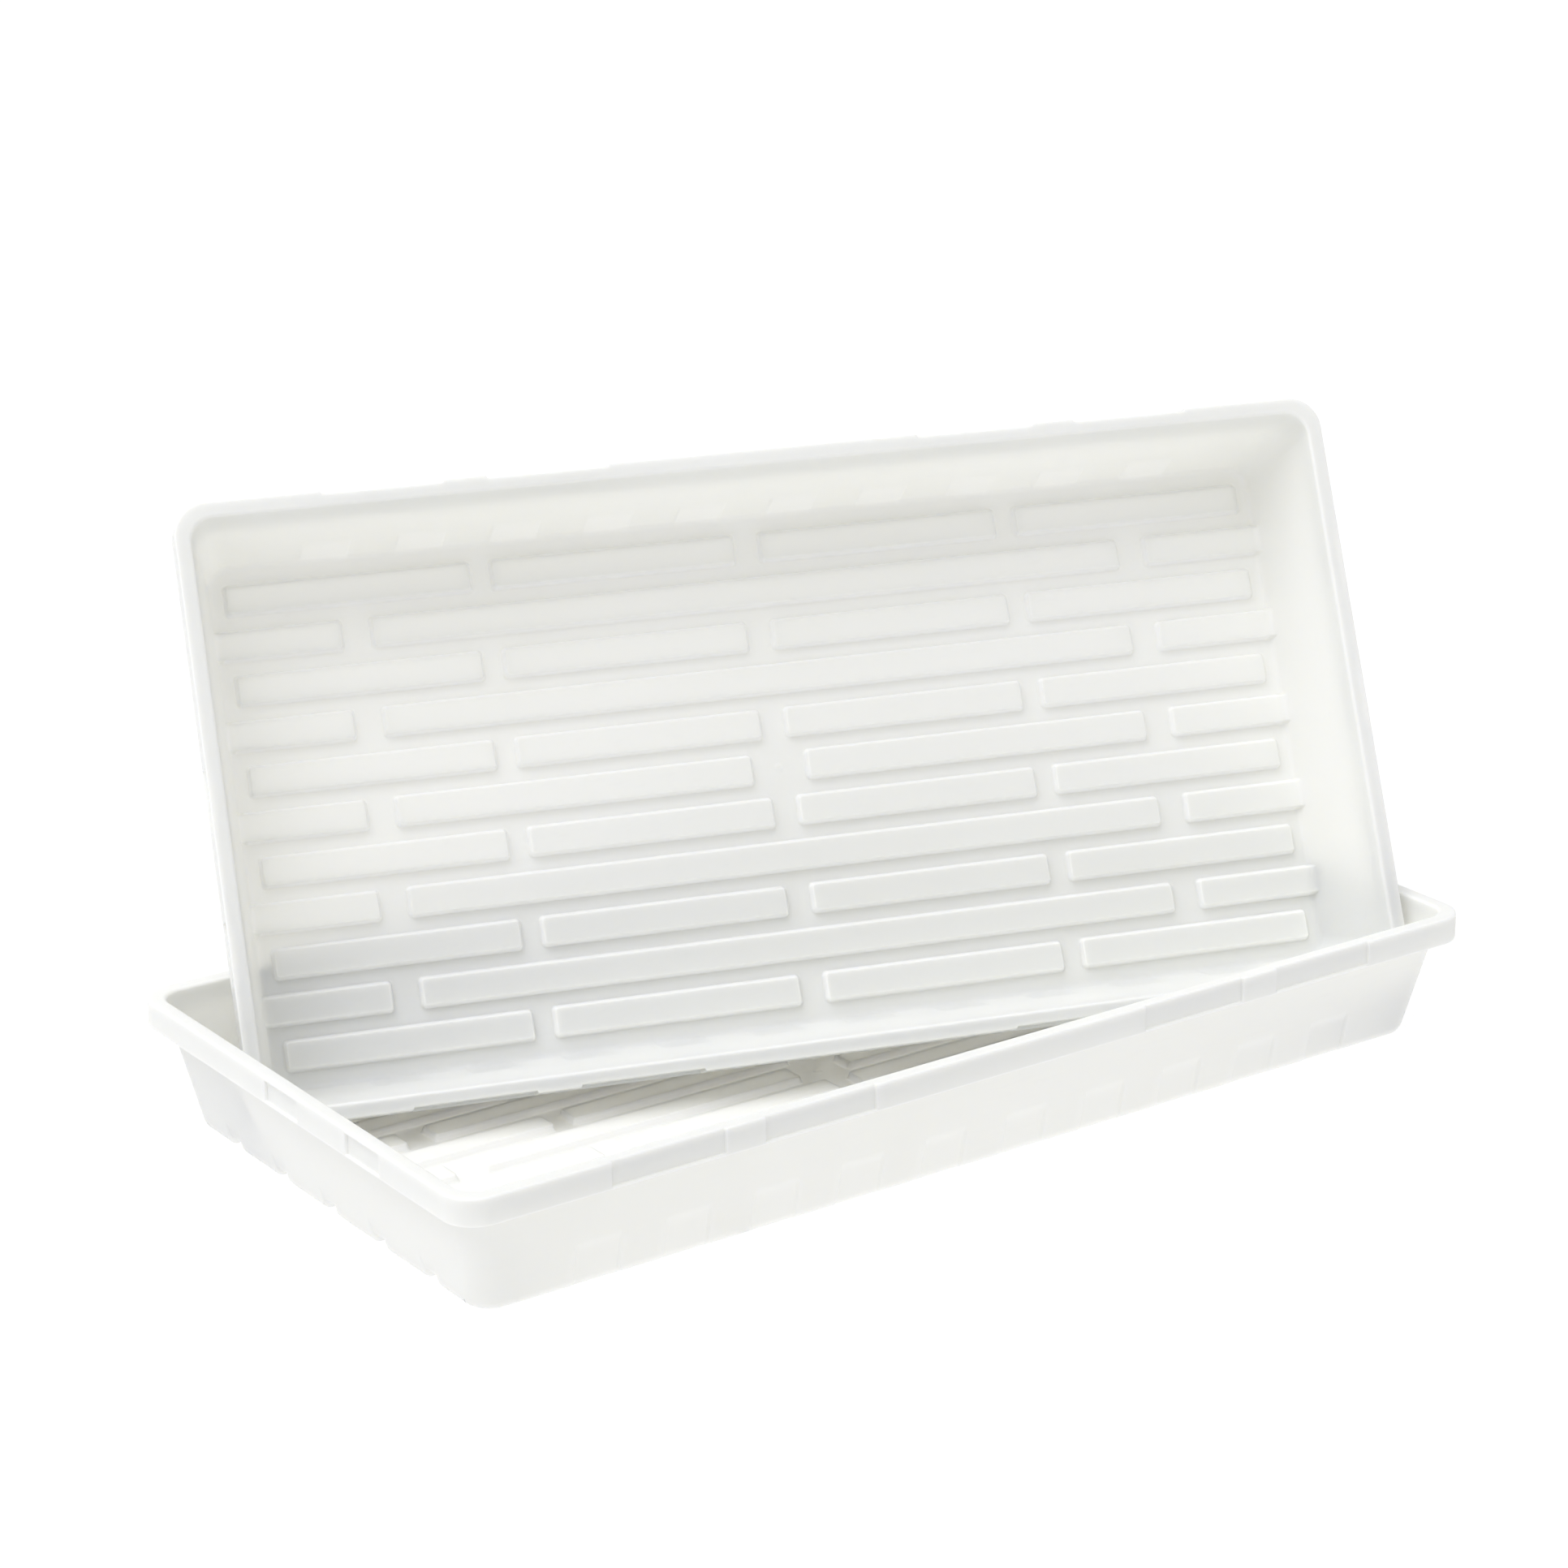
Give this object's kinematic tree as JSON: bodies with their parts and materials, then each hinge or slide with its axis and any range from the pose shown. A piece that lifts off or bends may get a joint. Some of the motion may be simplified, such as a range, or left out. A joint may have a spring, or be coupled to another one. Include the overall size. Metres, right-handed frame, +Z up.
{
  "type": "seedling tray",
  "caption": "Shallow rectangular plastic growing tray with a channelled floor and a flat rim, with a matching tray standing on its long side inside it",
  "frame": {"origin": "under the middle of the lower tray's floor, on the surface it stands on", "axes": "+X along the lower tray's length, +Y across it towards the rim the second tray leans back on, +Z up"},
  "size_m": [0.5641, 0.3478, 0.2755],
  "materials": {
    "lower_tray_plastic": "smooth satin moulded plastic",
    "leaning_tray_plastic": "smooth satin moulded plastic"
  },
  "bodies": {
    "lower_tray": {"lower_tray": "lower_tray_plastic"},
    "leaning_tray": {"leaning_tray": "leaning_tray_plastic"}
  },
  "joints": [
    {"name": "leaning_tray_lift", "type": "slide", "parent": "lower_tray", "child": "leaning_tray", "axis": [0, 0, 1], "range_m": [0, 0.2]}
  ]
}
